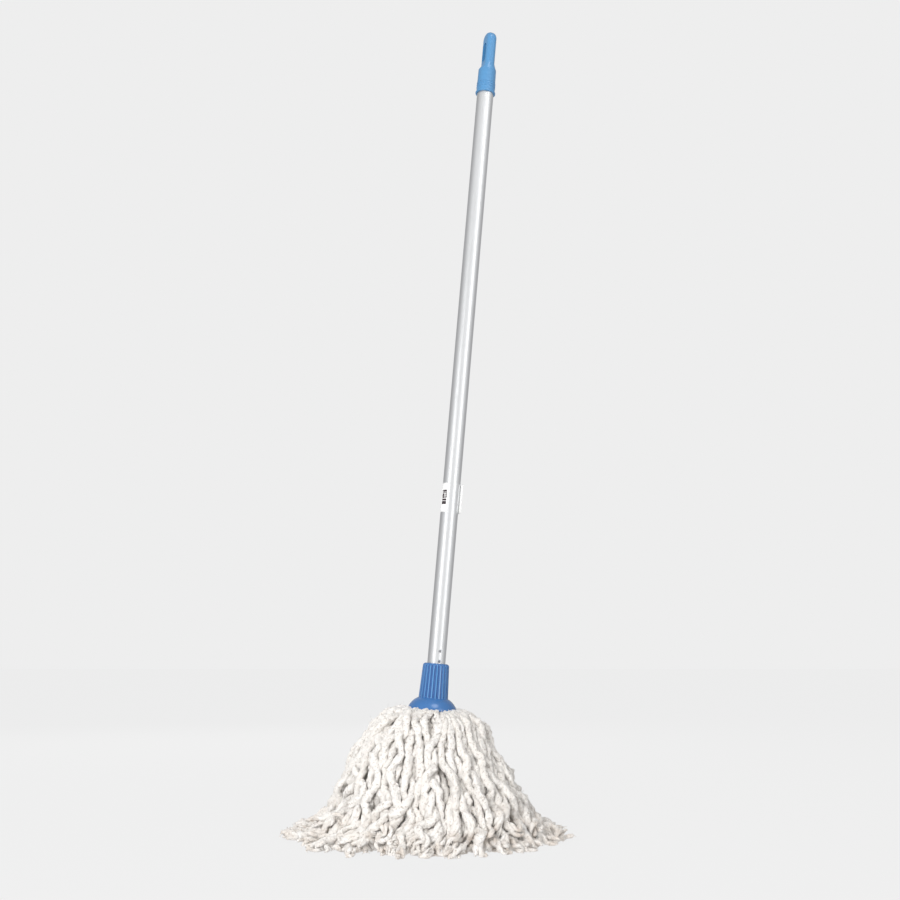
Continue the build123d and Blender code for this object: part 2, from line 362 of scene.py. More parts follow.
@dataclass(frozen=True)
class CottonYarn:
    """Fuzzy undyed cotton: off-white, a little greyer in some yarns, and beige at the frayed tips, with
    painted shade in the dips of the fluff, between the plies and in the deeper layers.
    """

    clean: Colour = (0.93, 0.91, 0.885)
    grey: Colour = (0.76, 0.715, 0.66)
    beige: Colour = (0.62, 0.52, 0.43)
    # Painted shade for the dips of the fluff relief.
    painted_pit_shade: Colour = (0.42, 0.37, 0.325)
    blotch_scale: float = 55
    fluff_scale: float = 310
    fibre_scale: float = 1500
    relief: float = 0.0024

    def write(self) -> bpy.types.Material:
        """Writes the material."""
        sheet = Sheet("cotton_yarn")
        where = sheet.place()
        names = ("yarn_tone", "toward_tip", "painted_groove_shade")
        tone, tip, groove = (
            sheet.node("ShaderNodeAttribute", {"attribute_name": name}, {}, "Fac") for name in names
        )
        blotch = sheet.noise(where, self.blotch_scale, 3, 0.6)
        fluff = sheet.noise(where, self.fluff_scale, 4, 0.7)
        fibre = sheet.noise(where, self.fibre_scale, 3, 0.7)
        # Painted shade: greyer down between the plies, and in deeper layers through their yarn_tone.
        body = sheet.blend(tone * 0.45 + blotch * 0.25 + groove * 0.3, self.clean, self.grey)
        soiled = tip.between(0.70, 1.0) * blotch.between(0.35, 0.7) * 0.6
        aged = sheet.blend(soiled, body, self.beige)
        # Painted shade where the fluff's relief dips.
        pit_shade_mask = (1 - fluff).between(0.52, 0.67) * 0.8
        sheet.feed(
            Base_Color=sheet.blend(pit_shade_mask, aged, self.painted_pit_shade),
            Roughness=0.88 + fibre * 0.1,
            Sheen_Weight=0.25,
            Sheen_Roughness=0.6,
            Specular_IOR_Level=0.1,
        )
        sheet.bump(fluff * 0.75 + fibre * 0.25, self.relief, 1.0)
        return sheet.material


# ------------------------------------------------------------------ mesh helpers


@dataclass
class MeshStock:
    """Vertices, faces and per-vertex values, gathered for one piece."""

    points: list[np.ndarray] = field(default_factory=list)
    quads: list[np.ndarray] = field(default_factory=list)
    triangles: list[np.ndarray] = field(default_factory=list)
    values: dict[str, list[np.ndarray]] = field(default_factory=dict)
    count: int = 0

    def tubes(self, rings: np.ndarray, values: dict[str, np.ndarray]) -> None:
        """Adds closed tubes, each through its own rings of points.

        Args:
            rings: Points by tube, by ring and by place round it.
            values: A value for each point, by attribute name.
        """
        many, rows, around = rings.shape[:3]
        size = rows * around
        start = self.count + np.arange(many)[:, None, None] * (size + 2)
        index = start + np.arange(size).reshape(rows, around)
        ahead = np.roll(index, -1, axis=2)
        sides = np.stack([index[:, :-1], ahead[:, :-1], ahead[:, 1:], index[:, 1:]], axis=-1)
        self.quads.append(sides.reshape(-1, 4))
        ends = np.stack([rings[:, 0].mean(1), rings[:, -1].mean(1)], axis=1)
        self.points.append(np.concatenate([rings.reshape(many, size, 3), ends], axis=1).reshape(-1, 3))
        low = np.broadcast_to(start[:, 0] + size, (many, around))
        self.triangles.append(np.stack([low, ahead[:, 0], index[:, 0]], axis=-1).reshape(-1, 3))
        self.triangles.append(np.stack([low + 1, index[:, -1], ahead[:, -1]], axis=-1).reshape(-1, 3))
        for name, value in values.items():
            flat = np.concatenate([value.reshape(many, size), value[:, 0, :1], value[:, -1, :1]], axis=1)
            self.values.setdefault(name, []).append(flat.reshape(-1))
        self.count += many * (size + 2)

    def tube(self, rings: np.ndarray, tone: float, toward_tip: np.ndarray,
             groove: Union[float, np.ndarray] = 0.0) -> None:
        """Adds one closed tube of yarn.

        Args:
            rings: Points by ring and by place round it, metres.
            tone: How grey the yarn is.
            toward_tip: How near the yarn's tip each ring is, 0 to 1.
            groove: How deep in a groove between plies each point lies, 0 to 1, which paints shade there.
        """
        shape = rings.shape[:2]
        values = {
            "yarn_tone": np.full(shape, tone),
            "toward_tip": np.broadcast_to(toward_tip[:, None], shape),
            "painted_groove_shade": np.broadcast_to(groove, shape),
        }
        self.tubes(rings[None], {name: value[None] for name, value in values.items()})

    def make(self, name: str, material: bpy.types.Material) -> bpy.types.Object:
        """Makes the Blender object.

        Args:
            name: The piece's name.
            material: Its finish.

        Returns:
            The new object, linked to the scene, with smooth faces.
        """
        mesh = bpy.data.meshes.new(name)
        points, quads = np.vstack(self.points), np.vstack(self.quads)
        triangles = np.vstack(self.triangles) if self.triangles else np.empty((0, 3), int)
        corners = np.concatenate([quads.reshape(-1), triangles.reshape(-1)])
        starts = np.concatenate([np.arange(len(quads)) * 4, quads.size + np.arange(len(triangles)) * 3])
        mesh.vertices.add(len(points))
        mesh.vertices.foreach_set("co", points.reshape(-1).astype(np.float32))
        mesh.loops.add(len(corners))
        mesh.loops.foreach_set("vertex_index", corners.astype(np.int32))
        mesh.polygons.add(len(starts))
        mesh.polygons.foreach_set("loop_start", starts.astype(np.int32))
        mesh.update(calc_edges=True)
        for key, blocks in self.values.items():
            attribute = mesh.attributes.new(key, "FLOAT", "POINT")
            attribute.data.foreach_set("value", np.concatenate(blocks).astype(np.float32))
        mesh.validate()
        mesh.shade_smooth()
        mesh.materials.append(material)
        piece = bpy.data.objects.new(name, mesh)
        bpy.context.scene.collection.objects.link(piece)
        return piece


def lean_over(points: np.ndarray, angle: Union[float, np.ndarray]) -> np.ndarray:
    """Points turned about the Y axis towards +X.

    Args:
        points: The points, with x, y and z in the last axis.
        angle: How far they lean, radians, for all or for each.

    Returns:
        The leaning points.
    """
    cos, sin = np.cos(angle), np.sin(angle)
    x, y, z = np.moveaxis(points, -1, 0)
    return np.stack([x * cos + z * sin, y, z * cos - x * sin], axis=-1)


def smooth_line(knots: np.ndarray, count: int) -> np.ndarray:
    """Points along a uniform cubic B-spline that starts and ends at its first and last knots.

    Args:
        knots: The control points, one a row.
        count: How many points to give.

    Returns:
        The points, one a row.
    """
    first, last = 2 * knots[0] - knots[1], 2 * knots[-1] - knots[-2]
    padded = np.vstack([first, knots, last])
    at = np.linspace(0, len(knots) - 1 - TINY, count)
    cell = at.astype(int)
    t = (at - cell)[:, None]
    weights = ((1 - t) ** 3, 3 * t**3 - 6 * t**2 + 4, -3 * t**3 + 3 * t**2 + 3 * t + 1, t**3)
    return sum(w * padded[cell + i] for i, w in enumerate(weights)) / 6


def by_length(points: np.ndarray, spacing: float) -> np.ndarray:
    """The same line, with evenly spaced points.

    Args:
        points: The line's points.
        spacing: The distance wanted between points, in the points' unit.

    Returns:
        The evenly spaced points, ends kept.
    """
    run = np.concatenate([[0], np.cumsum(np.linalg.norm(np.diff(points, axis=0), axis=1))])
    even = np.linspace(0, run[-1], max(int(round(run[-1] / spacing)) + 1, 4))
    return np.stack([np.interp(even, run, points[:, k]) for k in range(3)], axis=1)


def frames_along(line: np.ndarray) -> tuple[np.ndarray, np.ndarray, np.ndarray]:
    """Directions along a line and two directions across it that don't twist.

    Args:
        line: The line's points.

    Returns:
        The along, side and up directions at each point.
    """
    along = np.gradient(line, axis=0)
    along /= np.linalg.norm(along, axis=1, keepdims=True) + 1e-12
    side = np.empty_like(along)
    guess = np.cross(along[0], (0.0, 0.0, 1.0))
    if np.linalg.norm(guess) < 0.1:
        guess = np.cross(along[0], (1.0, 0.0, 0.0))
    for i, direction in enumerate(along):
        guess = guess - direction * guess.dot(direction)
        guess /= np.linalg.norm(guess) + 1e-12
        side[i] = guess
    return along, side, np.cross(along, side)


def wandering(draw: np.random.Generator, length: np.ndarray, wave: float) -> np.ndarray:
    """A smooth random wander along a length, about -1 to 1.

    Args:
        draw: Where random numbers come from.
        length: The distance along the yarn at each point.
        wave: The typical distance between one swing and the next.

    Returns:
        The wander at each point.
    """
    spread, half = 0.6, wave / 2
    knots = draw.normal(0, spread, int(length[-1] / half) + 5)
    at = length / half + draw.uniform(0, 1)
    cell = at.astype(int)
    t = at - cell
    t = t * t * (3 - 2 * t)
    return knots[cell] * (1 - t) + knots[cell + 1] * t


# ------------------------------------------------------------------ the yarn head


class Depth(Enum):
    """How deep in the tuft a layer of yarn lies."""

    OUTER = "outer"
    MIDDLE = "middle"
    INNER = "inner"


@dataclass(frozen=True)
class YarnLayer:
    """One layer of yarns. The outline is radius and height in millimetres, from the dome to the floor."""

    depth: Depth
    locks: int
    yarns_in_lock: int
    outline: tuple[tuple[float, float], ...]
    shortest: float
    longest: float
    shade: float                 # painted shade: how much greyer than the outer yarns, as deeper yarns lie in shade, 0 to 1
    around: int                  # points in a ring round a yarn
    spacing: float               # distance from ring to ring, mm


LAYERS = (
    YarnLayer(
        Depth.OUTER, 16, 5,
        ((22, 165.5), (31, 167), (38, 170.5), (46, 172.5), (54, 170), (63, 161), (73, 145), (83, 126),
         (95, 108), (106, 90), (116, 70), (125, 52), (136, 34), (148, 20), (166, 10), (190, 6), (240, 5)),
        198, 250, 0.0, around=18, spacing=1.9,
    ),
    YarnLayer(
        Depth.MIDDLE, 12, 6,
        ((22, 155), (33, 157), (45, 160), (57, 153), (68, 138), (80, 117), (92, 97), (102, 76), (112, 53),
         (124, 31), (140, 13), (164, 6), (240, 5)),
        184, 232, 0.12, around=14, spacing=2.3,
    ),
    YarnLayer(
        Depth.INNER, 8, 5,
        ((22, 146), (36, 146), (48, 142), (60, 127), (73, 104), (86, 79), (97, 56), (110, 33), (126, 14),
         (148, 6), (240, 5)),
        168, 216, 0.3, around=10, spacing=3.0,
    ),
)


@dataclass(frozen=True)
class Wander:
    """How a yarn strays from its layer's outline. Lengths in millimetres along the yarn or away from it."""

    held: float = 12.0           # the dome holds the yarn this far along
    freeing: float = 30.0        # and it comes free over this length
    loose_from: float = 25.0
    loosening: float = 90.0
    wave: float = 50.0           # from one wide swing to the next
    ripple: float = 30.0         # from one short swing to the next, sideways
    stand_ripple: float = 28.0   # and outwards
    wide_swing: tuple[float, float] = (9, 3)       # once free, and what looseness adds
    wide_stand: tuple[float, float] = (3.5, 2.0)
    short_swing: tuple[float, float] = (1.5, 3)    # once free, and what the curly half adds
    short_stand: float = 2.5
    coil: tuple[float, float] = (34, 60)           # one turn of the curl near the tip
    coil_size: tuple[float, float] = (3.5, 3.0)    # its usual radius and how far that varies
    liveliness: tuple[float, float] = (0.6, 1.7)   # how much one yarn swings against another
    raised: float = 2.0          # how far every other yarn of a lock stands out
    sunk: float = 5.0            # and how far the rest lie back
    rise: tuple[float, float] = (0.3, 0.7)         # share of that lost when loose, and when curly
    dome_lift: float = 1.8       # how much higher the yarns leave the dome at the right


@dataclass
class Tuft:
    """All the yarns' centre lines as chains of points, settled against each other and the floor."""

    pitch: float = 6.5           # distance between points of a chain, mm
    radius: float = 5.3          # a yarn's own radius, mm
    neck: float = 138.0          # height from which the yarn leans as much as the handle, mm
    lean: float = 0.0
    swept: float = 14.0          # how far the lower yarns are swept to the right, mm
    swept_at: float = 40.0       # most at this height, mm
    swept_over: float = 90.0     # and fading over this much height above and below, mm
    left_reach: float = 0.06     # how much further the lowest yarns reach at the left
    right_reach: float = 0.02    # and at the right
    front_pull: float = 0.13     # share of their reach that the lower yarns lack at the front
    spread_from: float = 120.0   # height under which these reaches grow, mm
    spread_over: float = 90.0    # and over how much height
    swelling: float = 60.0       # length over which a yarn swells from the dome's grip, mm
    sinking: float = 0.08        # how far the yarns sink at each small move, mm
    memory: float = 0.012        # share of the way back to where they were laid, at each move
    tightness: float = 0.5       # how firmly a yarn keeps its length
    stiffness: float = 0.12      # and its bends
    pressed: float = 0.92        # share of its radius at which a yarn lies off the floor
    firmness: float = 0.9        # share of their radii that two yarns keep apart
    eagerness: float = 1.2       # how far past the mean shove a point goes
    search_every: int = 8        # moves between searches for yarns that touch
    search_reach: float = 2.5    # how many radii off they are looked for
    own_steps: int = 3           # points of one yarn that may lie this near each other
    least_radius: float = 30.0   # under this, a swing turns a yarn no further round the mop, mm
    outline_step: float = 0.5    # distance between an outline's points, mm
    scatter: float = 0.3         # how far from even the yarns come out, as a share of their distance
    wander: Wander = Wander()
    chains: list[np.ndarray] = field(default_factory=list)

    def lay_out(self, draw: np.random.Generator) -> list[tuple[YarnLayer, int, int]]:
        """Lays every yarn along its layer's outline, with its own length and wander.

        Args:
            draw: Where random numbers come from.

        Returns:
            The layer, lock number and tier of each yarn.
        """
        owners = []
        for layer in LAYERS:
            total = layer.locks * layer.yarns_in_lock
            outline = np.array([(r, 0.0, h) for r, h in layer.outline])
            guide = by_length(smooth_line(outline, 400), self.outline_step)
            middle = (layer.yarns_in_lock - 1) / 2
            for index in range(total):
                place = index - middle + draw.uniform(-self.scatter, self.scatter)
                azimuth = place * 2 * math.pi / total
                length = draw.uniform(layer.shortest, layer.longest)
                tier = index % layer.yarns_in_lock
                self.chains.append(self.one_yarn(draw, guide, azimuth, length, tier))
                owners.append((layer, index // layer.yarns_in_lock, tier))
        return owners

    def one_yarn(self, draw: np.random.Generator, guide: np.ndarray, azimuth: float,
                 length: float, tier: int) -> np.ndarray:
        """One yarn's chain of points before it settles.

        Args:
            draw: Where random numbers come from.
            guide: The layer's outline as evenly spaced points, radius in x and height in z.
            azimuth: Where round the mop the yarn comes out, radians.
            length: The yarn's length, mm.
            tier: How deep the yarn starts among the yarns of its lock.

        Returns:
            The chain's points in millimetres.
        """
        ways = self.wander
        run = np.arange(0, length, self.pitch)
        at = np.clip(run / self.outline_step, 0, len(guide) - 1)
        radius = np.interp(at, np.arange(len(guide)), guide[:, 0])
        height = np.interp(at, np.arange(len(guide)), guide[:, 2])
        slope = np.gradient(np.stack([radius, height], axis=1), axis=0)
        slope /= np.linalg.norm(slope, axis=1, keepdims=True) + TINY
        free = np.clip((run - ways.held) / ways.freeing, 0, 1)
        loose = np.clip((run - ways.loose_from) / ways.loosening, 0, 1)
        curly = np.clip((run - 0.5 * length) / (0.5 * length), 0, 1)
        swing = wandering(draw, run, ways.wave) * (ways.wide_swing[0] * free + ways.wide_swing[1] * loose)
        short = ways.short_swing[0] * free + ways.short_swing[1] * curly
        swing += wandering(draw, run, ways.ripple) * short
        stand = wandering(draw, run, ways.wave) * (ways.wide_stand[0] * free + ways.wide_stand[1] * loose)
        stand += wandering(draw, run, ways.stand_ripple) * ways.short_stand * curly
        coil = run * 2 * math.pi / draw.uniform(*ways.coil) + draw.uniform(0, 2 * math.pi)
        size = max(0.0, draw.normal(*ways.coil_size)) * curly
        swing = swing * draw.uniform(*ways.liveliness) + size * np.cos(coil)
        stand += size * np.sin(coil)
        if tier % 2 == 0:
            stand += ways.raised * (1 - loose) * free
        else:
            stand += -(ways.sunk + tier) * (1 - ways.rise[0] * loose - ways.rise[1] * curly) * free
        height = height + ways.dome_lift * max(0.0, math.cos(azimuth)) * (1 - free)
        radius = radius - slope[:, 1] * stand
        height = height + slope[:, 0] * stand
        low = np.clip((self.spread_from - height) / self.spread_over, 0, 1)
        radius *= 1 - self.front_pull * max(0.0, -math.sin(azimuth)) ** 1.5 * low
        reach = self.right_reach if math.cos(azimuth) > 0 else self.left_reach
        radius *= 1 + reach * math.cos(azimuth) ** 2 * low**8
        angle = azimuth + swing / np.maximum(radius, self.least_radius)
        upright = np.stack([radius * np.cos(angle), radius * np.sin(angle), height], axis=1)
        return self.leant(upright)

    def leant(self, points: np.ndarray) -> np.ndarray:
        """Points of the upright tuft, upright at the floor and leaning with the handle at the neck."""
        height = points[:, 2]
        leaning = lean_over(points, self.lean * np.clip(height / self.neck, 0, 1) ** 2)
        low = np.clip(1 - abs(height - self.swept_at) / self.swept_over, 0, 1)
        leaning[:, 0] += self.swept * low * low * (3 - 2 * low)
        return leaning

    def settle(self, rounds: int) -> None:
        """Lets the yarns push each other apart, keep their lengths and bends, and rest on the floor.

        Args:
            rounds: How many small moves to make.
        """
        sizes = [len(chain) for chain in self.chains]
        starts = np.concatenate([[0], np.cumsum(sizes)[:-1]])
        points = np.vstack(self.chains)
        guide = points.copy()
        own = np.repeat(np.arange(len(sizes)), sizes)
        step = np.arange(len(points)) - starts[own]
        run = step * self.pitch
        girth = self.radius * (0.5 + 0.5 * np.clip(run / self.swelling, 0, 1))
        fixed = step < 2
        links = np.flatnonzero(own[:-1] == own[1:])
        bends = np.flatnonzero(own[:-2] == own[2:])
        link_length = np.linalg.norm(points[links + 1] - points[links], axis=1)
        bend_length = np.linalg.norm(points[bends + 2] - points[bends], axis=1)
        pairs = np.empty((0, 2), int)
        for turn in range(rounds):
            if turn % self.search_every == 0:
                pairs = self.close_pairs(points, own, step)
            points[:, 2] -= self.sinking
            points += (guide - points) * self.memory
            self.push_apart(points, pairs, girth)
            for _ in range(3):
                self.keep_length(points, links, links + 1, link_length, self.tightness)
                self.keep_length(points, bends, bends + 2, bend_length, self.stiffness)
            points[:, 2] = np.maximum(points[:, 2], girth * self.pressed)
            points[fixed] = guide[fixed]
        self.chains = [points[a:a + n] for a, n in zip(starts, sizes)]

    def close_pairs(self, points: np.ndarray, own: np.ndarray, step: np.ndarray) -> np.ndarray:
        """Pairs of points close enough to touch soon, leaving out near points of one yarn."""
        tree = KDTree(len(points))
        for i, point in enumerate(points.tolist()):
            tree.insert(point, i)
        tree.balance()
        found = []
        for i, point in enumerate(points.tolist()):
            found += [(i, j) for _, j, _ in tree.find_range(point, self.search_reach * self.radius) if j > i]
        pairs = np.array(found)
        a, b = pairs.T
        return pairs[(own[a] != own[b]) | (abs(step[a] - step[b]) > self.own_steps)]

    def push_apart(self, points: np.ndarray, pairs: np.ndarray, girth: np.ndarray) -> None:
        """Moves overlapping points half the overlap each, averaged where a point has several."""
        a, b = pairs.T
        gap = points[b] - points[a]
        distance = np.linalg.norm(gap, axis=1) + TINY
        deep = (girth[a] + girth[b]) * self.firmness - distance
        hit = deep > 0
        a, b = a[hit], b[hit]
        move = gap[hit] / distance[hit, None] * deep[hit, None] * 0.5
        total = np.zeros_like(points)
        count = np.zeros(len(points))
        np.add.at(total, a, -move)
        np.add.at(total, b, move)
        np.add.at(count, a, 1)
        np.add.at(count, b, 1)
        points += total / np.maximum(count, 1)[:, None] * self.eagerness

    @staticmethod
    def keep_length(points: np.ndarray, a: np.ndarray, b: np.ndarray,
                    length: np.ndarray, share: float) -> None:
        """Moves the ends of links back towards the length they should have."""
        gap = points[b] - points[a]
        distance = np.linalg.norm(gap, axis=1) + TINY
        move = gap * ((distance - length) / distance * 0.5 * share)[:, None]
        np.add.at(points, a, move)
        np.add.at(points, b, -move)


@dataclass(frozen=True)
class Fray:
    """How a yarn's end comes apart into loose plies, and each ply's tip into wisps. Millimetres."""

    unravelled: tuple[float, float] = (16, 38)     # length of the yarn that has come apart
    ply_thick: float = 3.3
    ply_thin: float = 2.8
    ply_spread: tuple[float, float] = (2.5, 8.0)   # how far a ply strays from the yarn's line at its tip
    ply_twist: float = 2 * math.pi / 60
    ply_tail: tuple[float, float] = (1, 9)         # how far a ply runs on past the yarn's line
    ply_lumps: float = 0.20
    ply_start: float = 1.6                         # distance of a ply's line from the yarn's where it parts
    ply_around: int = 9
    ply_spacing: float = 2.2
    wisp_length: tuple[float, float] = (3, 8)
    wisp_thick: float = 0.8
    wisp_thin: float = 0.35
    wisp_steps: int = 5
    wisp_around: int = 5
    wisps: int = 3
    hair_gap: float = 3.5                          # distance along the yarn from one loose hair to the next
    hair_length: tuple[float, float] = (1.8, 4.6)
    hair_thick: float = 0.42
    hair_steps: int = 4
    hair_around: int = 3
    floor_gap: float = 0.25                        # nothing comes nearer the floor than this


@dataclass
class YarnHead:
    """The mop's tuft of yarns, one piece for each lock."""

    lean: float
    cotton: bpy.types.Material
    ply_count: int = 4
    ply_relief: float = 0.045
    ply_twist: float = 2 * math.pi / 34     # radians a millimetre
    nubs: float = 0.18
    fullness: float = 0.95                  # the body's share of the yarn's radius
    uneven: float = 0.12                    # how much the body swells and thins
    uneven_wave: float = 20                 # mm
    necks: tuple[float, float] = (0.78, 0.6)    # share left where the dome grips raised and sunk yarns
    neck_length: float = 50                 # over which it swells from there, mm
    end_share: float = 0.62                 # share left where the plies part
    end_length: float = 9                   # over which it thins to there, mm
    rounds: int = 150                       # small moves in which the tuft settles
    quick_rounds: int = 24                  # and for a rough look
    fray: Fray = Fray()

    def build(self) -> list[bpy.types.Object]:
        """Settles the tuft and makes its pieces.

        Returns:
            The pieces, each standing for its lock in the frame.
        """
        draw = np.random.default_rng(SEED)
        tuft = Tuft(lean=self.lean)
        owners = tuft.lay_out(draw)
        tuft.settle(self.rounds)
        stocks: dict[tuple[Depth, int], MeshStock] = {}
        for (layer, lock, tier), chain in zip(owners, tuft.chains):
            stock = stocks.setdefault((layer.depth, lock), MeshStock())
            self.spin(draw, stock, chain, layer, tier, tuft.radius)
        pieces = []
        for (depth, lock), stock in stocks.items():
            piece = stock.make(f"{depth.value}_yarns_{lock + 1:02d}", self.cotton)
            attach(piece, "head")
            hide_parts(f"yarn_{depth.value}_lock_{lock + 1:02d}")
            pieces.append(piece)
        return pieces

    def spin(self, draw: np.random.Generator, stock: MeshStock, chain: np.ndarray,
             layer: YarnLayer, tier: int, radius: float) -> None:
        """Spins one yarn: its lumpy plied body, and the plies that come apart at its tip.

        Args:
            draw: Where random numbers come from.
            stock: Where the yarn's mesh goes.
            chain: The yarn's settled points, mm.
            layer: The layer it belongs to.
            tier: How deep it lies among the yarns of its lock.
            radius: The yarn's radius, mm.
        """
        whole = by_length(smooth_line(chain, len(chain) * 5), layer.spacing)
        loose = int(draw.uniform(*self.fray.unravelled) / layer.spacing)
        # The yarn's own random greyness, plus its layer's painted shade.
        tone = min(1.0, draw.uniform(0, 0.6) + layer.shade)
        self.unravel(draw, stock, whole[-loose - 4:], tone)
        line = whole[:-loose]
        _, side, up = frames_along(line)
        run = np.arange(len(line)) * layer.spacing
        left = run[-1] - run
        neck = self.necks[tier % 2]
        thick = self.fullness * radius * (1 + self.uneven * wandering(draw, run, self.uneven_wave))
        thick *= neck + (1 - neck) * np.clip(run / self.neck_length, 0, 1)
        thick *= self.end_share + (1 - self.end_share) * np.clip(left / self.end_length, 0, 1)
        turn = np.linspace(0, 2 * math.pi, layer.around, endpoint=False)[None, :]
        phase = draw.uniform(0, 2 * math.pi) + self.ply_twist * run[:, None]
        groove = 0.5 - 0.5 * np.cos(self.ply_count * (turn - phase))
        nubs = self.nubs * self.lumps(draw, len(line), layer.around)
        ring = thick[:, None] * (1 - self.ply_relief * groove + nubs)
        share = run / (len(whole) * layer.spacing)
        stock.tube(self.sleeve(line, ring, side, up), tone, share, groove)
        self.hairs(draw, stock, line, thick, side, up, tone)

    def hairs(self, draw: np.random.Generator, stock: MeshStock, line: np.ndarray, thick: np.ndarray,
              side: np.ndarray, up: np.ndarray, tone: float) -> None:
        """Adds the short loose hairs that stand off a yarn.

        Args:
            draw: Where random numbers come from.
            stock: Where the mesh goes.
            line: The yarn's centre line, mm.
            thick: The yarn's radius at each point of its line, mm.
            side: Directions across the line.
            up: Directions across the line, square to side.
            tone: How grey this yarn is.
        """
        fray = self.fray
        gap = np.linalg.norm(line[1] - line[0])
        many = int(len(line) * gap / fray.hair_gap)
        at = draw.integers(4, len(line) - 1, many)
        turn = draw.uniform(0, 2 * math.pi, (many, 1))
        out = np.cos(turn) * side[at] + np.sin(turn) * up[at]
        heading = out + draw.normal(0, 0.6, (many, 3))
        heading /= np.linalg.norm(heading, axis=1, keepdims=True) + TINY
        across = np.cross(heading, (0.36, 0.48, 0.8))
        across /= np.linalg.norm(across, axis=1, keepdims=True) + TINY
        share = np.linspace(0, 1, fray.hair_steps)[None, :, None]
        length = draw.uniform(*fray.hair_length, (many, 1, 1))
        bend = draw.normal(0, 0.35, (many, 1, 3))
        root = (line[at] + out * thick[at, None] * 0.9)[:, None]
        path = root + length * (heading[:, None] * share + bend * share**2)
        ring = np.linspace(0, 2 * math.pi, fray.hair_around, endpoint=False)[None, None, :, None]
        wide = (fray.hair_thick * (1 - 0.6 * share))[..., None]
        rings = path[:, :, None] + wide * (np.cos(ring) * across[:, None, None]
                                           + np.sin(ring) * np.cross(heading, across)[:, None, None])
        rings[..., 2] = np.maximum(rings[..., 2], fray.floor_gap)
        shape = rings.shape[:3]
        values = {
            "yarn_tone": np.full(shape, tone),
            "toward_tip": np.full(shape, 0.5),
            "painted_groove_shade": np.zeros(shape),
        }
        stock.tubes(rings / PER_METRE, values)

    def unravel(self, draw: np.random.Generator, stock: MeshStock, core: np.ndarray, tone: float) -> None:
        """Adds the loose plies of a yarn's end, which twist round each other, stray apart and fray.

        Args:
            draw: Where random numbers come from.
            stock: Where the mesh goes.
            core: The line the yarn's end would follow, mm.
            tone: How grey this yarn is.
        """
        fray = self.fray
        count = int(draw.integers(3, 5))
        start = draw.uniform(0, 2 * math.pi)
        for k in range(count):
            tail = core[-1] - core[-4]
            tail = tail / np.linalg.norm(tail) + draw.normal(0, 0.45, 3)
            reach = np.linspace(0.25, 1, 4)[:, None] * draw.uniform(*fray.ply_tail)
            path = by_length(np.vstack([core, core[-1] + tail * reach]), fray.ply_spacing)
            _, side, up = frames_along(path)
            share = np.linspace(0, 1, len(path))
            run = np.arange(len(path)) * fray.ply_spacing
            angle = start + 2 * math.pi * k / count + fray.ply_twist * run + wandering(draw, run, 26) * share
            apart = draw.uniform(*fray.ply_spread) + 2.5 * wandering(draw, run, 18)
            stray = fray.ply_start + apart * share**1.3
            path = path + stray[:, None] * (np.cos(angle)[:, None] * side + np.sin(angle)[:, None] * up)
            path[:, 2] = np.maximum(path[:, 2], fray.ply_thin * 0.9)
            path = by_length(smooth_line(path, len(path) * 2), fray.ply_spacing)
            _, side, up = frames_along(path)
            share = np.linspace(0, 1, len(path))
            thick = fray.ply_thick + (fray.ply_thin - fray.ply_thick) * share
            thick *= draw.uniform(0.85, 1.2) * (0.45 + 0.55 * np.clip((1 - share) * len(path) / 3, 0, 1))
            ring = thick[:, None] * (1 + fray.ply_lumps * self.lumps(draw, len(path), fray.ply_around))
            stock.tube(self.sleeve(path, ring, side, up), tone, 0.75 + 0.25 * share)
            for _ in range(fray.wisps):
                self.wisp(draw, stock, path[int(draw.integers(-4, -1))], path[-1] - path[-3], tone)

    def wisp(self, draw: np.random.Generator, stock: MeshStock, place: np.ndarray,
             heading: np.ndarray, tone: float) -> None:
        """Adds one thin curling wisp of loose fibres.

        Args:
            draw: Where random numbers come from.
            stock: Where the mesh goes.
            place: Where it comes off, mm.
            heading: The direction its ply has there.
            tone: How grey this yarn is.
        """
        fray = self.fray
        heading = heading / (np.linalg.norm(heading) + TINY) + draw.normal(0, 0.5, 3)
        pace = draw.uniform(*fray.wisp_length) / fray.wisp_steps
        curl = draw.normal(0, 0.3, 3)
        path = [place]
        for _ in range(fray.wisp_steps):
            heading = heading / np.linalg.norm(heading)
            path.append(path[-1] + heading * pace)
            path[-1][2] = max(path[-1][2], fray.wisp_thick)
            heading = heading + curl
        line = np.array(path)
        _, side, up = frames_along(line)
        share = np.linspace(0, 1, len(line))
        thick = fray.wisp_thick + (fray.wisp_thin - fray.wisp_thick) * share
        ring = np.repeat(thick[:, None], fray.wisp_around, axis=1)
        stock.tube(self.sleeve(line, ring, side, up), tone, np.ones(len(line)))

    def sleeve(self, line: np.ndarray, ring: np.ndarray, side: np.ndarray, up: np.ndarray) -> np.ndarray:
        """Rings of points round a line, flattened where they'd pass through the floor, in metres.

        Args:
            line: The centre line, mm.
            ring: The radius at each ring and place round it, mm.
            side: Directions across the line.
            up: Directions across the line, square to side.

        Returns:
            The points by ring and place round it.
        """
        turn = np.linspace(0, 2 * math.pi, ring.shape[1], endpoint=False)[None, :, None]
        rings = line[:, None] + ring[..., None] * (np.cos(turn) * side[:, None] + np.sin(turn) * up[:, None])
        rings[..., 2] = np.maximum(rings[..., 2], self.fray.floor_gap)
        return rings / PER_METRE

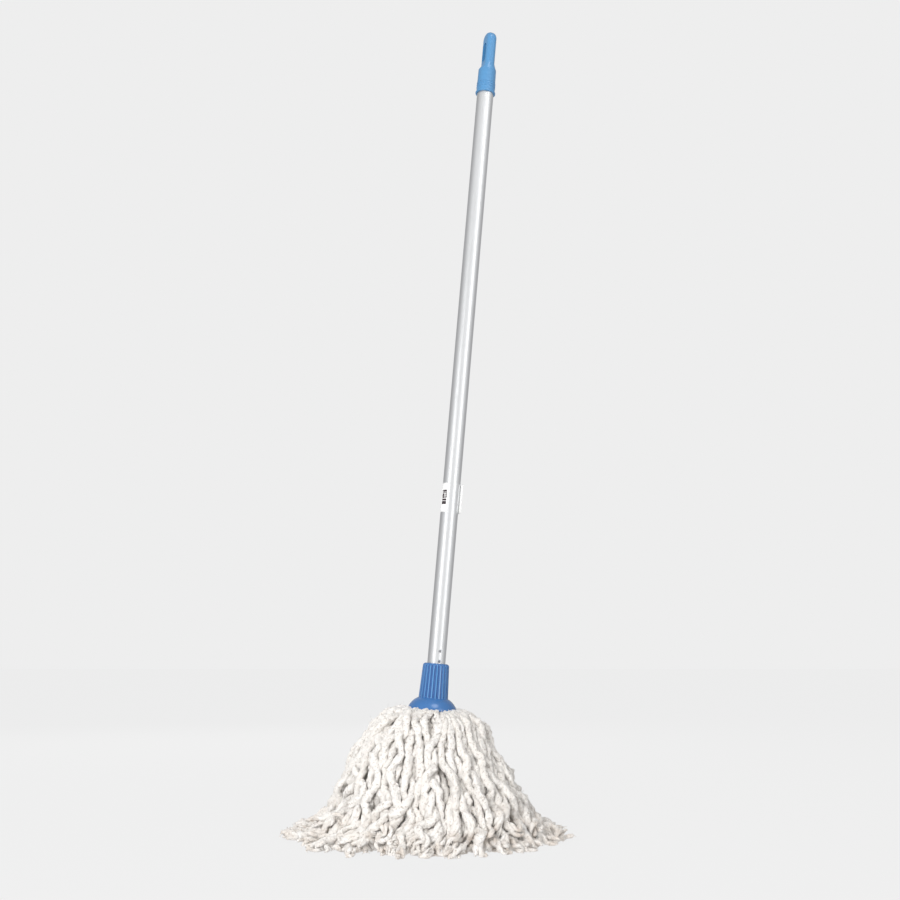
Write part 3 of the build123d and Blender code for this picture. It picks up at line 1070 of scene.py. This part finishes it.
    @staticmethod
    def lumps(draw: np.random.Generator, rows: int, around: int) -> np.ndarray:
        """Random nubs over a yarn: fine ones, and broader swellings, about -2 to 2."""
        fine = draw.normal(0, 1, (rows, around))
        fine = fine + 0.5 * (np.roll(fine, 1, 1) + np.roll(fine, -1, 1))
        fine[1:-1] = 0.6 * fine[1:-1] + 0.3 * (fine[2:] + fine[:-2])
        coarse = draw.normal(0, 1, (rows // 3 + 2, around // 3 + 1))
        coarse = np.concatenate([coarse, coarse[:, :1]], axis=1)
        rows_at, around_at = np.arange(rows) / 3, np.arange(around) * (coarse.shape[1] - 1) / around
        i, j = rows_at.astype(int), around_at.astype(int)
        u, v = (rows_at - i)[:, None], (around_at - j)[None, :]
        near = coarse[i][:, j] * (1 - v) + coarse[i][:, j + 1] * v
        far = coarse[i + 1][:, j] * (1 - v) + coarse[i + 1][:, j + 1] * v
        return 0.75 * fine / fine.std() + 0.75 * (near * (1 - u) + far * u)


@dataclass
class YarnFolds:
    """The yarns' folded middles, pressed between the dome's ceiling and the clamp plate."""

    lean: float
    cotton: bpy.types.Material
    tiers: tuple[float, ...] = (156.5, 164.5, 172.5)    # heights along the handle's axis, mm
    folds: int = 22
    inner: float = 4.5
    outer: float = 25.0
    flat: float = 3.7                                    # half the height of a pressed yarn, mm
    widest: float = 4.2                                  # half its width where there is room, mm
    steps: int = 8
    around: int = 10

    def build(self) -> bpy.types.Object:
        """Makes the folded yarns as one piece."""
        draw = np.random.default_rng(SEED + 1)
        stock = MeshStock()
        for level, height in enumerate(self.tiers):
            for k in range(self.folds):
                azimuth = 2 * math.pi * (k + 0.5 * (level % 2) + draw.uniform(-0.1, 0.1)) / self.folds
                radius = np.linspace(self.inner, self.outer, self.steps)
                wide = np.minimum(radius * math.pi / self.folds * 1.25, self.widest)
                out = np.array((math.cos(azimuth), math.sin(azimuth), 0.0))
                across = np.array((-out[1], out[0], 0.0))
                turn = np.linspace(0, 2 * math.pi, self.around, endpoint=False)[None, :, None]
                middle = radius[:, None, None] * out + np.array((0, 0, height))
                rings = middle + np.cos(turn) * wide[:, None, None] * across
                rings = rings + np.sin(turn) * np.array((0, 0, self.flat))
                rings = rings + draw.normal(0, 0.12, rings.shape)
                tone = draw.uniform(0.3, 0.9)
                stock.tube(lean_over(rings, self.lean) / PER_METRE, tone, np.zeros(self.steps))
        piece = stock.make("folded_yarns", self.cotton)
        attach(piece, "head")
        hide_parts("yarn_folds")
        return piece


# ------------------------------------------------------------------ handle, socket and clamp


def dress(node: str, material: bpy.types.Material) -> None:
    """Gives a frame node its finish.

    Args:
        node: The node's name.
        material: The finish for all its faces.
    """
    for one in frame["nodes"][node].material_slots:
        one.link = "OBJECT"
        one.material = material
    log.info("dressed %s", node)


@dataclass
class Handle:
    """The tube, the hanging cap and the plug in the tube's lower end."""

    lean: float

    def build(self) -> None:
        """Dresses the handle's nodes."""
        dress("handle_tube", DrawnAluminium(self.lean).write())
        sky, shade = (0.078, 0.244, 0.468), (0.060, 0.210, 0.41)
        cap = MouldedPlastic("cap_polythene", sky, shade, roughness=0.30, coat=0.4)
        dress("hanging_cap", cap.write())
        black, shade = (0.05, 0.05, 0.055), (0.03, 0.03, 0.035)
        plug = MouldedPlastic("plug_plastic", black, shade, roughness=0.42, coat=0.0)
        dress("threaded_plug", plug.write())


@dataclass
class TubeLabel:
    """The paper label round the back of the tube, with one end lifting, and plain blocks printed on it."""

    lean: float
    start: float = math.radians(-18)         # azimuth of the lifting end
    end: float = math.radians(254.3)         # azimuth of the end on the front
    thickness: float = 0.22
    lift: float = 4.4                        # how far the loose end stands off the tube, mm
    lifting: float = math.radians(22)        # the arc over which it leaves the tube
    rows: int = 9
    columns: int = 96
    crowding: float = 1.5                    # above 1, columns stand closer at the lifting end
    curl: float = 1.3                        # above 1, the loose end lifts more and more
    glue: float = 0.02                       # gap between the paper and the tube, mm
    ink: tuple[float, float] = (0.01, 0.05)  # bottom and top of the print off the paper, mm
    print_middle: float = math.radians(225)
    print_half: float = 4.0                  # half the print's width, mm
    print_top: float = 10.0                  # from the label's upper edge to the print, mm
    # Printed blocks: across and down from the print's corner, width and height, mm.
    blocks: tuple[tuple[float, float, float, float], ...] = (
        (0.0, 0.0, 8.0, 3.0), (0.0, 3.7, 8.0, 1.2), (0.0, 5.5, 3.6, 6.4), (4.4, 5.5, 1.3, 6.4),
        (6.4, 5.5, 1.6, 6.4), (0.0, 12.6, 8.0, 3.0), (0.0, 16.2, 8.0, 4.4),
    )

    def build(self) -> list[bpy.types.Object]:
        """Makes the label and its print."""
        low, high = (corner * PER_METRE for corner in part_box("handle_label"))
        tube_low, tube_high = (corner * PER_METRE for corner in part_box("handle_tube"))
        radius = (tube_high.y - tube_low.y) / 2
        tilt = (radius + self.thickness) * math.sin(self.lean)
        bottom, top = (low.z + tilt) / math.cos(self.lean), (high.z - tilt) / math.cos(self.lean)
        paper = MeshStock()
        azimuth = self.start + (self.end - self.start) * np.linspace(0, 1, self.columns) ** self.crowding
        station = np.linspace(bottom, top, self.rows)
        self.patch(paper, radius, azimuth, station, self.glue, self.thickness)
        ink = MeshStock()
        for across, down, wide, tall in self.blocks:
            first = self.print_middle + (across - self.print_half) / radius
            edge = top - self.print_top - down
            turn, height = np.linspace(first, first + wide / radius, 8), np.linspace(edge - tall, edge, 2)
            self.patch(ink, radius, turn, height, *(self.thickness + off for off in self.ink))
        white = LabelPaper("label_paper", (0.88, 0.88, 0.87), (0.82, 0.82, 0.81)).write()
        black = LabelPaper("label_ink", (0.030, 0.024, 0.026), (0.05, 0.035, 0.04)).write()
        label = paper.make("tube_label", white)
        marks = ink.make("label_blocks", black)
        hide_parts("handle_label")
        for piece in (label, marks):
            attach(piece, "handle")
        return [label, marks]

    def patch(self, stock: MeshStock, radius: float, azimuth: np.ndarray, station: np.ndarray,
              inside: float, outside: float) -> None:
        """Adds a closed curved patch between two distances off the tube.

        Args:
            stock: Where the mesh goes.
            radius: The tube's radius, mm.
            azimuth: Angles round the handle's axis.
            station: Distances along the handle's axis, mm.
            inside: The patch's inner face, off the tube, mm.
            outside: Its outer face, off the tube, mm.
        """
        turn, height = np.meshgrid(azimuth, station, indexing="ij")
        loose = np.clip(1 - (turn - self.start) / self.lifting, 0, 1)
        stand = self.lift * loose**self.curl
        layers = [self.place(radius + off + stand, turn, height) for off in (inside, outside)]
        wide, tall = turn.shape
        index = np.arange(2 * wide * tall).reshape(2, wide, tall) + stock.count
        for layer, flip in ((index[0], True), (index[1], False)):
            faces = np.stack([layer[:-1, :-1], layer[1:, :-1], layer[1:, 1:], layer[:-1, 1:]], axis=-1)
            faces = faces.reshape(-1, 4)
            stock.quads.append(faces[:, ::-1] if flip else faces)
        edges = [index[:, :-1, 0], index[:, -1, :-1], index[:, :0:-1, -1], index[:, 0, :0:-1]]
        rim = np.concatenate(edges, axis=1)
        ahead = np.roll(rim, -1, axis=1)
        stock.quads.append(np.stack([rim[0], ahead[0], ahead[1], rim[1]], axis=-1))
        stock.points.append(np.concatenate(layers).reshape(-1, 3) / PER_METRE)
        stock.count += 2 * wide * tall

    def place(self, radius: np.ndarray, azimuth: np.ndarray, station: np.ndarray) -> np.ndarray:
        """Points round the leaning handle's axis, mm."""
        upright = np.stack([radius * np.cos(azimuth), radius * np.sin(azimuth), station], axis=-1)
        return lean_over(upright, self.lean)


@dataclass
class Socket:
    """The socket and the clamp under its dome."""

    lean: float

    def build(self) -> None:
        """Dresses the socket's and the clamp's nodes."""
        blue, shade = (0.039, 0.158, 0.40), (0.028, 0.126, 0.34)
        fluted = FlutedPlastic("socket_polypropylene", blue, shade, roughness=0.20, coat=0.45, lean=self.lean)
        dress("mop_socket", fluted.write())
        blue, shade = (0.05, 0.15, 0.42), (0.04, 0.12, 0.36)
        plate = MouldedPlastic("plate_plastic", blue, shade, roughness=0.4, coat=0.0)
        dress("clamp_plate", plate.write())
        steel = PlatedSteel().write()
        dress("clamp_washer", steel)
        dress("clamp_screw", steel)


# ------------------------------------------------------------------ studio


@dataclass(frozen=True)
class Softbox:
    """A rectangular soft light."""

    name: str
    place: tuple[float, float, float]
    aim: tuple[float, float, float]
    size: tuple[float, float]
    power: float                 # watts
    mirrored: bool = True        # whether shiny surfaces show it

    def hang(self) -> None:
        """Hangs the light and turns it to its aim."""
        data = bpy.data.lights.new(self.name, "AREA")
        data.shape = "RECTANGLE"
        data.size, data.size_y = self.size
        data.energy = self.power
        light = bpy.data.objects.new(self.name, data)
        light.location = self.place
        light.visible_glossy = self.mirrored
        light.rotation_euler = (Vector(self.aim) - Vector(self.place)).to_track_quat("-Z", "Y").to_euler()
        bpy.context.scene.collection.objects.link(light)


class Backdrop(Sheet):
    """The world: even and pale for the camera, bright in front and darker behind for shiny surfaces."""

    def __init__(self, pale: float, front: float, back: float, fill: float) -> None:
        """Writes the world.

        Args:
            pale: The tone the camera sees.
            front: What shiny surfaces mirror from the camera's side.
            back: What they mirror from behind the object.
            fill: The even light that matt surfaces get.
        """
        world = bpy.data.worlds.new("studio")
        world.use_nodes = True
        bpy.context.scene.world = world
        self.tree = world.node_tree
        where = self.node("ShaderNodeTexCoord", {}, {}, "Generated")
        depth = self.node("ShaderNodeSeparateXYZ", {}, {0: where}, "Y")
        mirrored = self.blend(depth.between(-0.75, 0.55), (front, front, front), (back, back, back * 1.01))
        matt = self.node("ShaderNodeLightPath", {}, {}, "Is Diffuse Ray")
        seen = self.node("ShaderNodeLightPath", {}, {}, "Is Camera Ray")
        whole = self.blend(seen, self.blend(matt, mirrored, (fill, fill, fill)), (pale, pale, pale))
        self.fill(self.tree.nodes["Background"].inputs["Color"], whole)


@dataclass
class Studio:
    """The camera, the soft lights, the pale floor and the surroundings that the metal mirrors."""

    eye: tuple[float, float, float] = (0.039, -1.613, 0.236)
    tilt: float = math.radians(10.5)
    lens: float = 45.76
    pale: float = 0.855          # the tone behind the mop
    mirrored_front: float = 0.90
    mirrored_back: float = 0.44
    fill: float = 0.36
    floor_reach: float = 40.0
    floor_glow: float = 0.83     # the light the floor gives off, so that shadows on it stay faint
    floor_grey: float = 0.035
    softboxes: tuple[Softbox, ...] = (
        Softbox("left_softbox", (-1.1, -1.7, 0.6), (0.0, 0.0, 0.6), (0.45, 1.2), 5.6),
        Softbox("right_softbox", (1.6, -1.5, 0.95), (0.05, 0.0, 0.7), (0.7, 2.1), 8.5),
        Softbox("key_softbox", (-0.9, -2.3, 0.95), (0.0, 0.0, 0.08), (0.9, 0.9), 46.5, mirrored=False),
        Softbox("overhead_softbox", (0.6, -1.1, 2.6), (0.0, 0.0, 0.1), (1.0, 1.0), 11),
        Softbox("back_softbox", (-0.7, 2.2, 1.5), (0.0, 0.0, 0.15), (1.2, 1.2), 28, mirrored=False),
    )

    def build(self) -> None:
        """Makes the whole studio."""
        self.camera()
        Backdrop(self.pale, self.mirrored_front, self.mirrored_back, self.fill)
        self.floor()
        for softbox in self.softboxes:
            softbox.hang()
        bpy.context.scene.view_settings.view_transform = "Standard"

    def camera(self) -> None:
        """The camera, low and tilted up along the handle."""
        data = bpy.data.cameras.new("camera")
        data.sensor_width = 36.0
        data.lens = self.lens
        camera = bpy.data.objects.new("camera", data)
        camera.location = self.eye
        camera.rotation_euler = (math.pi / 2 + self.tilt, 0, 0)
        bpy.context.scene.collection.objects.link(camera)
        bpy.context.scene.camera = camera

    def floor(self) -> None:
        """A wide pale floor that takes only a soft shadow and isn't mirrored in the metal."""
        reach = self.floor_reach
        mesh = bpy.data.meshes.new("floor")
        edges = [(-reach, -reach, 0), (reach, -reach, 0), (reach, reach, 0), (-reach, reach, 0)]
        mesh.from_pydata(edges, [], [(0, 1, 2, 3)])
        floor = bpy.data.objects.new("floor", mesh)
        sheet = Sheet("studio_floor")
        cloud = sheet.noise(sheet.place(), 3.0, 2)
        grey, glow = self.floor_grey, self.floor_glow
        sheet.feed(
            Base_Color=sheet.blend(cloud, (grey, grey, grey), (grey * 1.02, grey * 1.02, grey * 1.02)),
            Roughness=0.9,
            Specular_IOR_Level=0.0,
            Emission_Color=(glow, glow, glow),
            Emission_Strength=1.0,
        )
        mesh.materials.append(sheet.material)
        bpy.context.scene.collection.objects.link(floor)
        floor.visible_glossy = False


def corners(box: Iterable[Vector]) -> list[list[float]]:
    """A box's two corners as plain lists of numbers."""
    return [[float(value) for value in corner] for corner in box]


def handle_lean() -> float:
    """How far the handle's axis leans from upright, from the frame's own hinge."""
    axis = next(j["axis"] for j in frame["record"]["behaviour"]["joints"] if j["type"] == "hinge")
    return math.atan2(axis[0], axis[2])


def main() -> None:
    """Builds the studio and every part of the mop, and reports each piece."""
    logging.basicConfig(level=logging.INFO, format="%(name)s: %(message)s")
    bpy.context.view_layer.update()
    lean = handle_lean()
    Studio().build()
    Handle(lean).build()
    Socket(lean).build()
    cotton = CottonYarn().write()
    for piece in [*TubeLabel(lean).build(), YarnFolds(lean, cotton).build(), *YarnHead(lean, cotton).build()]:
        log.info("made %s with %d faces", piece.name, len(piece.data.polygons))


if __name__ == "__main__":
    main()
